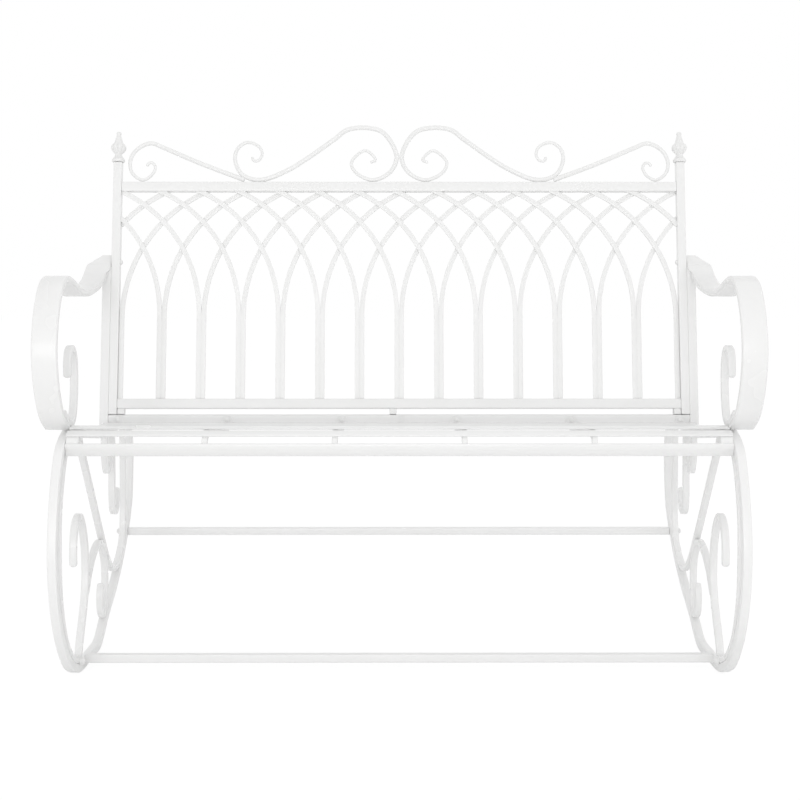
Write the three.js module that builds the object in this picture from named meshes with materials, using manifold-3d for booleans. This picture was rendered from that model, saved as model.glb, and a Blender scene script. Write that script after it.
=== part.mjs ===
// White steel rocking bench: two rocking side frames with scroll work, a slatted seat and
// a lattice back with scrolls along its crest. Lengths are in millimetres. +X runs to the
// bench's side, +Y to its back and +Z up. The origin lies on the floor, under the middle.
import * as THREE from 'three';
import { mergeVertices } from 'three/addons/utils/BufferGeometryUtils.js';
import Module from 'manifold-3d';

const wasm = await Module();
wasm.setup();

// Overall sizes.
const benchWidth = 1270;
const sideDepth = 771;
const seatHeight = 457;
const seatDepth = 384;
const seatNoseDrop = 43;
const armRise = 278.5;
const latticeRise = 423.5;
const crestRise = 109.4;
const leanDegrees = 8.62;

// Stock that the pieces are made of. The rockers and the stretchers are of the side tube.
const tube = 17;
const sideTube = 16;
const backRail = 20;
const endWidth = 23;
const armWidth = 45;
const armThick = 12;
const barWidth = 14;
const barThick = 12;
const stripWidth = 9.5;
const stripThick = 5;
const rodRadius = 4.75;
const slatThick = 4;
const ribWidth = 10;
const ribThick = 12;
const jointGap = 0.3;

// Seat slats, measured along the seat's curve from its front end.
const noseSlatStart = 2;
const noseSlatLength = 28.5;
const noseSlatGap = 15;
const crestSlatLength = 18.5;
const flatSlatCount = 6;
const flatSlatGap = 13;
const ribStart = 8;
const ribPlaceShares = [-0.585, -0.195, 0.195, 0.585];
const rearRailRise = 2;

// Back frame, measured up the back from the seat's height.
const footHeight = 15;
const sideFootWidth = 14;
const sideFootSpace = 1;
const middleFootWidth = 15;
const middleFootPlace = -12.5;
const postAboveRail = 41.5;
const postSpace = 0.5;
const bayCount = 14;
const bayEdge = 6;
const archStart = 172;
const weldTab = 9;
const weldTabHeight = 7;

// How far each arm post stands in from its side frame, the length of the armrest's rear end
// that is as far in, and the slanting cut at that end's outer corner.
const armPostInset = 6.5;
const armEndLength = 40;
const cornerWidth = 31;
const cornerDrop = 20;
const cornerEdge = 3;
const cornerFade = 20;

// Finial on each back post, from its foot up.
const collarRadius = 13.5;
const collarHeight = 4.5;
const skirtHeight = 9;
const neckRadius = 7;
const neckHeight = 4;
const bulbRadius = 16;
const bulbHeight = 23;
const coneRadius = 9;
const coneHeight = 15;
const tipRadius = 5;
const petalDepth = 1.6;
const petalCount = 8;

// Middles of the stretchers between the rockers, as shares of sideDepth back and of
// seatHeight up.
const frontStretcherShares = [-0.194, 0.044];
const rearStretcherShares = [0.413, 0.401];

// Curves of the side frame seen from the side, as shares of sideDepth back from its middle
// and of seatHeight up. The seat's front is a share of sideDepth ahead of that middle. The
// rocker's two lists follow its outer face, on either side of its foot.
const seatFrontShare = 0.401;
const rockerFrontShares = [
  [-0.319, 1.011], [-0.376, 0.982], [-0.418, 0.94], [-0.457, 0.836], [-0.485, 0.711],
  [-0.5, 0.551], [-0.486, 0.389], [-0.437, 0.221], [-0.354, 0.079], [-0.299, 0.033],
  [-0.245, 0.0065], [-0.2, 0],
];
const rockerRearShares = [
  [-0.012, 0], [0.02, 0.011], [0.058, 0.041], [0.108, 0.09], [0.266, 0.212], [0.396, 0.363], [0.476, 0.503],
  [0.503, 0.656], [0.505, 0.814], [0.477, 0.897], [0.415, 0.934], [0.311, 0.943],
];
const rockerEndShare = 0.956;
const braceShares = [
  [-0.227, 0.98], [-0.076, 0.717], [0.075, 0.453], [0.134, 0.359], [0.184, 0.304],
  [0.246, 0.278], [0.307, 0.309], [0.355, 0.368], [0.377, 0.455], [0.383, 0.569],
  [0.383, 0.766], [0.38, 0.928],
];
const linerShares = [
  [-0.357, 0.95], [-0.406, 0.827], [-0.437, 0.678], [-0.442, 0.525], [-0.432, 0.368],
  [-0.387, 0.204], [-0.32, 0.103], [-0.279, 0.072], [-0.246, 0.059], [-0.226, 0.07],
  [-0.213, 0.114], [-0.18, 0.197], [-0.154, 0.271], [-0.139, 0.354], [-0.14, 0.438],
  [-0.153, 0.525], [-0.178, 0.591], [-0.213, 0.632], [-0.249, 0.613], [-0.27, 0.56],
  [-0.276, 0.499], [-0.275, 0.444],
];
const lowerCurlShares = [
  [-0.14, 0.29], [-0.093, 0.372], [-0.045, 0.425], [0, 0.451], [0.032, 0.455],
  [0.058, 0.442], [0.08, 0.409], [0.099, 0.363], [0.109, 0.311], [0.11, 0.247],
  [0.102, 0.179], [0.078, 0.125], [0.053, 0.142], [0.043, 0.188], [0.044, 0.234],
  [0.057, 0.269],
];
const rearHookShares = [
  [0.119, 0.928], [0.119, 0.814], [0.143, 0.746], [0.175, 0.77], [0.197, 0.827], [0.22, 0.88],
];
const rearStrandShares = [
  [0.22, 0.928], [0.22, 0.716], [0.22, 0.591], [0.23, 0.551], [0.253, 0.536], [0.275, 0.556],
  [0.281, 0.602], [0.278, 0.641],
];

// Curves above the seat, as shares of the way from the rocker's top end back to the arm
// post, and of armRise above the seat's height.
const rockerTopShare = -0.345;
const armShares = [
  [1.067, 1.16], [1.025, 1.106], [0.937, 1.02], [0.82, 0.962], [0.684, 0.93], [0.529, 0.908],
  [0.425, 0.908], [0.297, 0.93], [0.155, 0.977], [0.016, 1], [-0.093, 0.962], [-0.183, 0.855],
  [-0.245, 0.711], [-0.277, 0.531], [-0.253, 0.352], [-0.191, 0.197], [-0.12, 0.093], [0, 0.01],
];
const armCurlShares = [
  [-0.071, 0.126], [0.011, 0.061], [0.076, 0.039], [0.131, 0.061], [0.166, 0.115],
  [0.188, 0.208], [0.199, 0.327], [0.191, 0.434], [0.161, 0.506], [0.117, 0.528],
  [0.071, 0.51], [0.044, 0.445], [0.044, 0.341],
];

// The seat's top line, as shares of seatDepth back from the front and of seatNoseDrop
// above the seat's height.
const seatShares = [
  [0.034, -1], [0.013, -0.791], [0, -0.535], [0.003, -0.302], [0.018, -0.093], [0.05, 0.07],
  [0.102, 0.186], [0.154, 0.221], [0.245, 0.128], [0.389, -0.012], [0.527, -0.151],
  [0.658, -0.267], [0.789, -0.337], [0.885, -0.302], [0.958, -0.256], [1, -0.256],
];

// Rods of the crest seen from the front, as shares of half the width between the back
// posts and of crestRise above the line where a rod rests on the top rail.
const outerCrestShares = [
  [-0.5584, 0], [-0.718, 0.315], [-0.853, 0.615], [-0.897, 0.7], [-0.936, 0.63],
  [-0.964, 0.48], [-0.973, 0.3], [-0.964, 0.13], [-0.928, 0], [-0.897, 0.075],
  [-0.881, 0.23], [-0.89, 0.32], [-0.904, 0.32], [-0.912, 0.265],
];
const innerCrestShares = [
  [-0.53, 0.436], [-0.53, 0.4], [-0.521, 0.359], [-0.508, 0.375], [-0.499, 0.43],
  [-0.496, 0.51], [-0.506, 0.63], [-0.547, 0.718], [-0.582, 0.615], [-0.594, 0.4],
  [-0.568, 0.11], [-0.506, 0], [-0.403, 0.185], [-0.235, 0.775],
  [-0.191, 0.95], [-0.129, 1], [-0.059, 0.91], [-0.0093, 0.45], [-0.033, 0.15],
  [-0.096, 0], [-0.158, 0.15], [-0.172, 0.34], [-0.122, 0.56], [-0.085, 0.38], [-0.104, 0.335],
];

// Places across the bench, from the middle outward.
const armOuter = benchWidth / 2;
const sideInner = armOuter - armWidth;
const endOuter = sideInner - jointGap;
const endInner = endOuter - endWidth;
const armPostInner = sideInner - armPostInset;
const postOuter = armPostInner - postSpace;
const postInner = postOuter - tube;
const railReach = postInner - jointGap;
const bayPitch = 2 * (postInner - bayEdge) / bayCount;

// Places up the back, along its lean.
const lean = THREE.MathUtils.degToRad(leanDegrees);
const bottomRailTop = footHeight + backRail;
const topRailFoot = bottomRailTop + latticeRise;
const topRailTop = topRailFoot + backRail;
const postTop = topRailTop + postAboveRail;

// Places from front to back. The back's front face is at zero at the seat's height.
const seatFront = tube - seatDepth;
const sideMiddle = seatFront + seatFrontShare * sideDepth;

const bench = new THREE.Group();
const back = new THREE.Group();
back.position.set(0, 0, seatHeight);
back.rotation.x = -lean;
bench.add(back);

function addPiece(name, geometry, parent = bench) {
  const paint = new THREE.MeshStandardMaterial({ color: '#efefef', roughness: 0.35, metalness: 0 });
  geometry.computeVertexNormals();
  const piece = new THREE.Mesh(geometry, paint);
  piece.name = name;
  parent.add(piece);
}

// Merges the corners that faces share and drops faces without area.
function welded(source) {
  source.deleteAttribute('normal');
  source.deleteAttribute('uv');
  const geometry = mergeVertices(source);
  const corners = geometry.index.array;
  const kept = [];
  for (let i = 0; i < corners.length; i += 3) {
    const [a, b, c] = corners.slice(i, i + 3);
    if (a !== b && b !== c && c !== a) kept.push(a, b, c);
  }
  geometry.setIndex(kept);
  return geometry;
}

function solidOf(geometry) {
  return new wasm.Manifold(new wasm.Mesh({
    numProp: 3,
    vertProperties: new Float32Array(geometry.attributes.position.array),
    triVerts: new Uint32Array(geometry.index.array),
  }));
}

function geometryOf(solid) {
  const mesh = solid.getMesh();
  const geometry = new THREE.BufferGeometry();
  geometry.setAttribute('position', new THREE.BufferAttribute(mesh.vertProperties, 3));
  geometry.setIndex(Array.from(mesh.triVerts));
  return geometry;
}

function cut(geometry, ...cutters) {
  return geometryOf(cutters.reduce((solid, cutter) => solid.subtract(solidOf(cutter)), solidOf(geometry)));
}

function join(first, ...others) {
  return geometryOf(others.reduce((solid, other) => solid.add(solidOf(other)), solidOf(first)));
}

// The same shape on the other side of the bench, with its faces still pointing out.
function mirrored(geometry) {
  const copy = geometry.clone().scale(-1, 1, 1);
  const corners = copy.index.array;
  for (let i = 0; i < corners.length; i += 3) {
    [corners[i], corners[i + 1]] = [corners[i + 1], corners[i]];
  }
  return copy;
}

const xAxis = new THREE.Vector3(1, 0, 0);
const yAxis = new THREE.Vector3(0, 1, 0);
const zAxis = new THREE.Vector3(0, 0, 1);
const sidePlane = new THREE.Matrix4().makeBasis(yAxis, zAxis, xAxis);
const backPlane = new THREE.Matrix4().makeBasis(xAxis, zAxis, yAxis.clone().negate());

function box(left, right, front, rear, foot, top) {
  const geometry = new THREE.BoxGeometry(right - left, rear - front, top - foot);
  geometry.translate((left + right) / 2, (front + rear) / 2, (foot + top) / 2);
  return welded(geometry);
}

// A flat outline in the side plane, made solid from one place across the bench to another.
function prism(outline, from, to) {
  const shape = new THREE.Shape(outline.map(([u, v]) => new THREE.Vector2(u, v)));
  const geometry = new THREE.ExtrudeGeometry(shape, { depth: to - from, bevelEnabled: false });
  geometry.translate(0, 0, from);
  return welded(geometry.applyMatrix4(sidePlane));
}

function placed(shares, width, height, start = 0, base = 0) {
  return shares.map(([across, up]) => [start + across * width, base + up * height]);
}

// A smooth line through a few points, with some steps between each two.
function smooth(points, steps) {
  const corners = points.map(([u, v]) => new THREE.Vector3(u, v, 0));
  const path = new THREE.CatmullRomCurve3(corners, false, 'centripetal');
  return path.getPoints(steps * (points.length - 1)).map(({ x, y }) => new THREE.Vector2(x, y));
}

// At each point of a line, the direction to its left, lengthened so that a bar that turns
// there keeps its thickness.
function leftward(line) {
  const normals = line.slice(1).map((point, i) => {
    const along = point.clone().sub(line[i]).normalize();
    return new THREE.Vector2(-along.y, along.x);
  });
  return line.map((_, i) => {
    const before = normals[Math.max(i - 1, 0)];
    const after = normals[Math.min(i, normals.length - 1)];
    const middle = before.clone().add(after).normalize();
    return middle.divideScalar(middle.dot(after));
  });
}

function shifted(line, distance) {
  const sides = leftward(line);
  return line.map((point, i) => point.clone().addScaledVector(sides[i], distance));
}

// A section carried along a flat line: a section's corners run anticlockwise, each one
// measured to the line's left and then square to the line's plane.
function sweep(line, section) {
  const sides = leftward(line);
  const corners = [];
  line.forEach((point, i) => {
    section.forEach(([left, out]) => {
      corners.push(point.x + left * sides[i].x, point.y + left * sides[i].y, out);
    });
  });
  const count = section.length;
  const faces = [];
  for (let ring = 0; ring < line.length - 1; ring += 1) {
    for (let side = 0; side < count; side += 1) {
      const a = ring * count + side;
      const b = ring * count + (side + 1) % count;
      faces.push(a, b, b + count, a, b + count, a + count);
    }
  }
  const last = (line.length - 1) * count;
  for (let side = 1; side < count - 1; side += 1) {
    faces.push(0, side + 1, side, last, last + side, last + side + 1);
  }
  const geometry = new THREE.BufferGeometry();
  geometry.setAttribute('position', new THREE.Float32BufferAttribute(corners, 3));
  geometry.setIndex(faces);
  return geometry;
}

function rectangle(low, high, from, to) {
  return [[low, from], [high, from], [high, to], [low, to]];
}

// A flat bar in the side plane. A spare size makes it larger all round, as a cutter.
function sideBar({ line, low, high, width }, spare = 0) {
  const section = rectangle(low - spare, high + spare, sideInner - spare, sideInner + width + spare);
  return sweep(line, section).applyMatrix4(sidePlane);
}

// The part of a line from one distance along it to another.
function stretch(line, from, to) {
  const kept = [];
  let passed = 0;
  for (let i = 1; i < line.length; i += 1) {
    const step = line[i].distanceTo(line[i - 1]);
    const start = (from - passed) / step;
    const end = (to - passed) / step;
    if (start >= 0 && start < 1) kept.push(line[i - 1].clone().lerp(line[i], start));
    if (end > 0 && end <= 1) kept.push(line[i - 1].clone().lerp(line[i], end));
    if (end > 1 && start < 1) kept.push(line[i]);
    passed += step;
  }
  return kept;
}

// How far along a line it first passes a place.
function distanceTo(line, place) {
  let passed = 0;
  for (let i = 1; i < line.length; i += 1) {
    const step = line[i].distanceTo(line[i - 1]);
    const part = (place - line[i - 1].x) / (line[i].x - line[i - 1].x);
    if (line[i - 1].x < place && line[i].x >= place) return passed + step * part;
    passed += step;
  }
  return passed;
}

// Where the leaning line that lies a distance behind the back's front face meets a height.
function leaningAt(height, behind = 0) {
  return (height - seatHeight) * Math.tan(lean) + behind / Math.cos(lean);
}

// Where that leaning line meets another line, found by steps that close in on it.
function leaningMeets(line, behind) {
  let height = line[0].y;
  for (let turn = 0; turn < line.length; turn += 1) {
    const place = leaningAt(height, behind);
    const next = line.findIndex((point) => point.x <= place);
    const [a, b] = [line[next - 1], line[next]];
    height = b.y + (a.y - b.y) * (place - b.x) / (a.x - b.x);
  }
  return [leaningAt(height, behind), height];
}

function sidePoints(shares) {
  return placed(shares, sideDepth, seatHeight, sideMiddle);
}

function sideCurve(shares, steps) {
  return smooth(sidePoints(shares), steps);
}

function armCurve(shares, steps) {
  const front = sideMiddle + rockerTopShare * sideDepth;
  const reach = leaningAt(seatHeight + armRise) - front;
  return smooth(placed(shares, reach, armRise, front, seatHeight), steps);
}

// An arm post runs up the lean from a level foot into the armrest. A spare size makes it
// larger in the side plane, as a cutter.
function armPost(foot, armMiddle, spare, from, to) {
  return prism([
    [leaningAt(foot, -spare), foot - spare],
    [leaningAt(foot, tube + spare), foot - spare],
    leaningMeets(armMiddle, tube + spare),
    leaningMeets(armMiddle, -spare),
  ], from, to);
}

// The wedge that the slanting cut takes from the rear end of an armrest.
function armCorner(top) {
  const outline = [
    [armOuter - cornerWidth, top], [armOuter - cornerEdge, top - cornerDrop],
    [armOuter, top - cornerDrop - cornerFade], [armOuter + cornerEdge, top - cornerDrop - cornerFade],
    [armOuter + cornerEdge, top + armThick], [armOuter - cornerWidth, top + armThick],
  ];
  const shape = new THREE.Shape(outline.map(([u, v]) => new THREE.Vector2(u, v)));
  const wedge = new THREE.ExtrudeGeometry(shape, { depth: sideDepth, bevelEnabled: false });
  return welded(wedge.translate(0, 0, -sideDepth).applyMatrix4(backPlane));
}

// The two side frames.
function sideFrames() {
  const topBar = rockerEndShare * seatHeight;
  const rockerEnd = [leaningAt(topBar, tube / 2), topBar];
  const rockerRear = [...sidePoints(rockerRearShares), rockerEnd];
  const rockerLine = [...sideCurve(rockerFrontShares, 2), ...smooth(rockerRear, 2)];
  const middle = { low: -barThick / 2, high: barThick / 2, width: barWidth };
  const rocker = { line: rockerLine, low: 0, high: sideTube, width: sideTube };
  const arm = { line: armCurve(armShares, 2), low: 0, high: armThick, width: armWidth };
  const brace = { line: sideCurve(braceShares, 2), ...middle };
  const liner = { line: sideCurve(linerShares, 2), ...middle };
  const lowerCurl = { line: sideCurve(lowerCurlShares, 2), ...middle };
  const rearHook = { line: sideCurve(rearHookShares, 2), ...middle };
  const rearStrand = { line: sideCurve(rearStrandShares, 2), ...middle };
  const armCurl = { line: armCurve(armCurlShares, 2), ...middle };

  const armMiddle = shifted(arm.line, armThick / 2);
  const endSection = rectangle(0, armThick, armPostInner, armOuter);
  const armEnd = sweep(stretch(arm.line, 0, armEndLength), endSection).applyMatrix4(sidePlane);
  const post = armPost(topBar - sideTube, armMiddle, 0, armPostInner, armPostInner + tube);
  const widePost = armPost(topBar - sideTube, armMiddle, jointGap, armPostInner, armOuter);
  const wideRocker = sideBar(rocker, jointGap);
  const wideArm = sideBar(arm, jointGap);
  const wideBrace = sideBar(brace, jointGap);
  const pieces = {
    rocker: cut(sideBar(rocker), widePost),
    armrest: cut(join(sideBar(arm), armEnd), wideRocker, armCorner(arm.line[0].y)),
    arm_post: cut(post, wideArm.clone().translate(-armPostInset, 0, 0)),
    arm_scroll: cut(sideBar(armCurl), wideArm, wideRocker),
    side_brace: cut(sideBar(brace), wideRocker),
    lower_scroll: cut(join(sideBar(liner), sideBar(lowerCurl)), wideRocker, wideBrace),
    rear_scroll: cut(join(sideBar(rearStrand), sideBar(rearHook)), wideRocker, wideBrace),
  };
  for (const [name, geometry] of Object.entries(pieces)) {
    addPiece(`${name}_right`, geometry);
    addPiece(`${name}_left`, mirrored(geometry));
  }
}

// The seat: end tubes, ribs, slats and rear rail.
function seat() {
  const line = smooth(placed(seatShares, seatDepth, seatNoseDrop, seatFront, seatHeight), 2);
  const reach = distanceTo(line, 0);
  const whole = distanceTo(line, tube);
  const railTop = seatHeight + rearRailRise;
  const railFoot = railTop - tube;
  const railEnd = armPostInner - jointGap;
  const wideRail = box(-armOuter, armOuter, -jointGap, tube, railFoot - jointGap, railTop);
  const postRoom = box(railEnd, armOuter, leaningAt(railFoot - tube) - jointGap, tube, 0, railTop);

  const layer = (from, to, high, low, left, right) => {
    const part = stretch(line, from, to);
    return sweep(part, rectangle(-low, -high, left, right)).applyMatrix4(sidePlane);
  };
  const under = slatThick + jointGap;
  const endTube = cut(layer(0, whole, under, under + tube, endInner, endOuter), wideRail, postRoom);
  addPiece('seat_end_right', endTube);
  addPiece('seat_end_left', mirrored(endTube));
  addPiece('seat_rear_rail', box(-railEnd, railEnd, 0, tube, railFoot, railTop));

  ribPlaceShares.forEach((share, i) => {
    const side = share * endOuter - ribWidth / 2;
    const rib = layer(ribStart, whole, under, under + ribThick, side, side + ribWidth);
    addPiece(`seat_rib_${i + 1}`, cut(rib, wideRail));
  });

  const noseSlatEnd = noseSlatStart + noseSlatLength;
  const crestSlatStart = noseSlatEnd + noseSlatGap;
  const crestSlatEnd = crestSlatStart + crestSlatLength;
  const slats = [[noseSlatStart, noseSlatEnd], [crestSlatStart, crestSlatEnd]];
  const flatPitch = (reach - crestSlatEnd - flatSlatGap) / flatSlatCount;
  for (let i = 0; i < flatSlatCount; i += 1) {
    const start = crestSlatEnd + flatSlatGap + i * flatPitch;
    slats.push([start, start + flatPitch - flatSlatGap]);
  }
  slats.forEach(([from, to], i) => {
    addPiece(`seat_slat_${i + 1}`, layer(from, to, 0, slatThick, -endOuter, endOuter));
  });
}

// An upright of the back: its foot is cut level, to stand on the seat's rear rail.
function upright(left, right, top) {
  const foot = (rearRailRise + jointGap) / Math.cos(lean);
  return prism([[0, foot], [tube, foot + tube * Math.tan(lean)], [tube, top], [0, top]], left, right);
}

function finial() {
  const neckFoot = collarHeight + skirtHeight;
  const bulbFoot = neckFoot + neckHeight;
  const bulbTop = bulbFoot + bulbHeight;
  const coneTop = bulbTop + coneHeight;
  const tipMiddle = coneTop + tipRadius / 2;
  const profile = [
    [0, 0], [collarRadius, 0], [collarRadius, collarHeight], [neckRadius, neckFoot],
    [neckRadius, bulbFoot], [bulbRadius, bulbFoot + bulbHeight / 3],
    [bulbRadius, bulbFoot + bulbHeight * 2 / 3], [coneRadius, bulbTop], [tipRadius, coneTop],
    [tipRadius, tipMiddle], [tipRadius / 2, tipMiddle + tipRadius * Math.sqrt(3) / 2],
    [0, tipMiddle + tipRadius],
  ].map(([radius, height]) => new THREE.Vector2(radius, height));
  const geometry = new THREE.LatheGeometry(profile, 2 * petalCount);
  const corners = geometry.attributes.position;
  const corner = new THREE.Vector3();
  for (let i = 0; i < corners.count; i += 1) {
    corner.fromBufferAttribute(corners, i);
    const radius = Math.hypot(corner.x, corner.z);
    const turn = Math.atan2(corner.z, corner.x);
    if (radius > collarRadius) {
      const inward = petalDepth * (1 - Math.cos(petalCount * turn)) / 2;
      corners.setXYZ(i, corner.x * (1 - inward / radius), corner.y, corner.z * (1 - inward / radius));
    }
  }
  return welded(geometry.rotateX(Math.PI / 2));
}

// An arched strip runs straight up to archStart above the bottom rail, and then round an arc
// that comes two bays across at the top rail.
const archRise = latticeRise - archStart;
const archSpan = 2 * bayPitch;
const archRadius = (archRise ** 2 + archSpan ** 2) / (2 * archSpan);
const archFoot = bottomRailTop + archStart;
const archSteps = 10;

// How far it has leaned over at a height, and at what height it has leaned over so far.
function archLean(height) {
  return archRadius - Math.sqrt(archRadius ** 2 - (height - archFoot) ** 2);
}

function archHeight(across) {
  return archFoot + Math.sqrt(archRadius ** 2 - (archRadius - across) ** 2);
}

// The outermost strips stand beside the back posts, and come back to their arc as they rise.
const postShift = postInner - 2 * jointGap - bayCount * bayPitch / 2;

// One strip of the lattice. It starts at a bay line, and it leans to the right in the rear
// layer (side 1) or to the left in the front layer (side -1). One that would start or end
// past a back post starts or ends inside that post.
function strip(bay, side) {
  const start = (bay - bayCount / 2) * bayPitch + side * stripWidth / 2;
  const outermost = side > 0 ? bay === 0 : bay === bayCount;
  const shift = outermost ? -side * postShift : 0;
  const limit = postInner + tube / 2;
  const outside = -limit - side * start;
  const foot = outside > 0 ? archHeight(outside) : archFoot;
  const room = limit - side * start;
  const inRail = topRailFoot + stripWidth / 2;
  const top = archLean(inRail) < room ? inRail : archHeight(room);
  const points = [];
  if (outside <= 0) points.push(new THREE.Vector2(start + shift, bottomRailTop + jointGap));
  for (let i = 0; i <= archSteps; i += 1) {
    const height = foot + (top - foot) * i / archSteps;
    const place = start + shift * (1 - i / archSteps) + side * archLean(height);
    points.push(new THREE.Vector2(place, height));
  }
  const middle = -tube / 2;
  const near = jointGap / 2;
  const far = near + stripThick;
  const [low, high] = side > 0 ? [middle - far, middle - near] : [middle + near, middle + far];
  const section = rectangle(-stripWidth / 2, stripWidth / 2, low, high);
  return sweep(points, section).applyMatrix4(backPlane);
}

// A weld between the two layers, where two strips cross.
function weld(place, height) {
  const front = tube / 2 - stripThick / 2;
  const rear = tube / 2 + stripThick / 2;
  return box(place - weldTab / 2, place + weldTab / 2, front, rear, height - weldTabHeight, height);
}

// The lattice, one arch for each bay line along the top rail. The arches beside the posts
// run on to the post and down again.
function lattice() {
  const rear = tube + jointGap;
  const postEdge = postInner - jointGap;
  const frame = [
    box(-armOuter, armOuter, -jointGap, rear, topRailFoot - jointGap, topRailTop),
    box(postEdge, armOuter, -jointGap, rear, 0, postTop),
    box(-armOuter, -postEdge, -jointGap, rear, 0, postTop),
  ];
  const postCrossing = archHeight(bayPitch - stripWidth / 2) + weldTabHeight / 2;
  for (let node = 0; node <= bayCount; node += 1) {
    const place = (node - bayCount / 2) * bayPitch;
    const pieces = [];
    if (node > 0) pieces.push(strip(node - 2, 1));
    if (node < bayCount) pieces.push(strip(node + 2, -1));
    if (pieces.length > 1) pieces.push(weld(place, topRailFoot - jointGap));
    if (node === 1) pieces.push(strip(node, -1), weld(place - bayPitch, postCrossing));
    if (node === bayCount - 1) pieces.push(strip(node, 1), weld(place + bayPitch, postCrossing));
    addPiece(`lattice_arch_${node + 1}`, cut(join(...pieces), ...frame), back);
  }
}

// A round rod along the crest. A spare size makes it thicker, as a cutter.
function rod(shares, sides, spare = 0) {
  const rest = topRailTop + jointGap + rodRadius;
  const line = smooth(placed(shares, postInner, crestRise, 0, rest), 2);
  const section = [];
  for (let i = 0; i < sides; i += 1) {
    const turn = (i + 1 / 2) * 2 * Math.PI / sides;
    const flat = (rodRadius + spare) / Math.cos(Math.PI / sides);
    section.push([flat * Math.cos(turn), flat * Math.sin(turn) - tube / 2]);
  }
  return sweep(line, section).applyMatrix4(backPlane);
}

function backFrame() {
  const post = upright(postInner, postOuter, postTop);
  addPiece('back_post_right', post, back);
  addPiece('back_post_left', mirrored(post), back);
  const knob = finial().translate(postInner + tube / 2, tube / 2, postTop + jointGap);
  addPiece('finial_right', knob, back);
  addPiece('finial_left', mirrored(knob), back);
  addPiece('back_top_rail', box(-railReach, railReach, 0, tube, topRailFoot, topRailTop), back);

  addPiece('back_bottom_rail', box(-railReach, railReach, 0, tube, footHeight, bottomRailTop), back);

  const sideFoot = postInner - sideFootSpace;
  const middleFoot = middleFootPlace - middleFootWidth / 2;
  const footTop = footHeight - jointGap;
  const foot = upright(sideFoot - sideFootWidth, sideFoot, footTop);
  addPiece('back_foot_right', foot, back);
  addPiece('back_foot_middle', upright(middleFoot, middleFoot + middleFootWidth, footTop), back);
  addPiece('back_foot_left', mirrored(foot), back);
  lattice();
  const inner = rod(innerCrestShares, 8);
  const outer = cut(rod(outerCrestShares, 8), rod(innerCrestShares, 8, jointGap));
  addPiece('crest_scroll_outer_left', outer, back);
  addPiece('crest_scroll_outer_right', mirrored(outer), back);
  addPiece('crest_scroll_inner_left', inner, back);
  addPiece('crest_scroll_inner_right', mirrored(inner), back);
}

function stretchers() {
  const half = sideTube / 2;
  const [front, rear] = sidePoints([frontStretcherShares, rearStretcherShares]);
  for (const [name, [place, height]] of [['stretcher_front', front], ['stretcher_rear', rear]]) {
    addPiece(name, box(-endOuter, endOuter, place - half, place + half, height - half, height + half));
  }
}

sideFrames();
seat();
backFrame();
stretchers();

// The origin is set under the middle of the bench.
const extent = new THREE.Box3().setFromObject(bench);
bench.position.y = -(extent.min.y + extent.max.y) / 2;

export default bench;
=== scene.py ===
import math

import bpy
import numpy as np
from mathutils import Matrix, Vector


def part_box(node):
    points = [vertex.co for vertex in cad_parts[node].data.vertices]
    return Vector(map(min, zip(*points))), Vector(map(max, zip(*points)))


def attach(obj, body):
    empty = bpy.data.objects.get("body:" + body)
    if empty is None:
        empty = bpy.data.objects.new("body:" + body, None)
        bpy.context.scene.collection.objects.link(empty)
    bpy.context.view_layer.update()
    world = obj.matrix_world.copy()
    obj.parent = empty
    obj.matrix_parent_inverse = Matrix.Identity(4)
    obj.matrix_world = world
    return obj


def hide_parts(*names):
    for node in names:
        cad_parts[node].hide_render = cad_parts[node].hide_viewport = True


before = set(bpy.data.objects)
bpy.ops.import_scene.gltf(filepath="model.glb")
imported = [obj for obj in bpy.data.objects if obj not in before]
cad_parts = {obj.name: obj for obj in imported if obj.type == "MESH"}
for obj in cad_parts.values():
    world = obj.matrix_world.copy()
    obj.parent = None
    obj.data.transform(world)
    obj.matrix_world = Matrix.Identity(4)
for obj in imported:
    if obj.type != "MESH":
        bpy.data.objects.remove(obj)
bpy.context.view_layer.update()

# The view: a camera at two thirds of the bench's height, square to its front and three metres
# away. It looks down two degrees, and its shift takes in the rockers.
image_width = 800
sensor_width = 36.0
focal_pixels = 1514.3
shift_pixels = -60
look_down = 2.05
look_right = 0.18

camera_data = bpy.data.cameras.new("camera")
camera_data.sensor_width = sensor_width
camera_data.lens = sensor_width * focal_pixels / image_width
camera_data.shift_y = shift_pixels / image_width
camera = bpy.data.objects.new("camera", camera_data)
camera.location = (-0.008, -2.9715, 0.7176)
camera.rotation_euler = (math.radians(90 - look_down), 0.0, math.radians(-look_right))
bpy.context.collection.objects.link(camera)
bpy.context.scene.camera = camera
bpy.context.scene.view_settings.view_transform = "Standard"


# The studio: a white floor that runs on to the horizon under a white sky, and three
# softboxes. The floor shows nearly white to the camera and keeps a faint shadow.
def to_linear(hex_colour):
    """sRGB hex to linear colour: c / 12.92 below 0.04045, else ((c + 0.055) / 1.055) ^ 2.4."""
    values = [int(hex_colour[i:i + 2], 16) / 255 for i in (1, 3, 5)]
    return (*[c / 12.92 if c <= 0.04045 else ((c + 0.055) / 1.055) ** 2.4 for c in values], 1.0)


def add_node(tree, kind, settings=None, values=None, links=None):
    """Adds a node, sets its properties and socket values, and links sockets into it."""
    node = tree.nodes.new(kind)
    for name, value in (settings or {}).items():
        setattr(node, name, value)
    for name, value in (values or {}).items():
        node.inputs[name].default_value = value
    for name, socket in (links or {}).items():
        tree.links.new(socket, node.inputs[name])
    return node


def empty_material(name):
    material = bpy.data.materials.new(name)
    material.use_nodes = True
    material.node_tree.nodes.clear()
    return material, material.node_tree


# The floor is matt paint mixed with its own light. The camera sees more of that light than
# the bench gets from it.
floor_white = "#F4F4F4"
floor_reach = 30.0
grains_per_metre = 3.0
floor_roughness = (0.7, 0.8)
seen_mix, bench_mix = 0.88, 0.13
seen_strength, bench_strength = 1.04, 1.35

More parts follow.
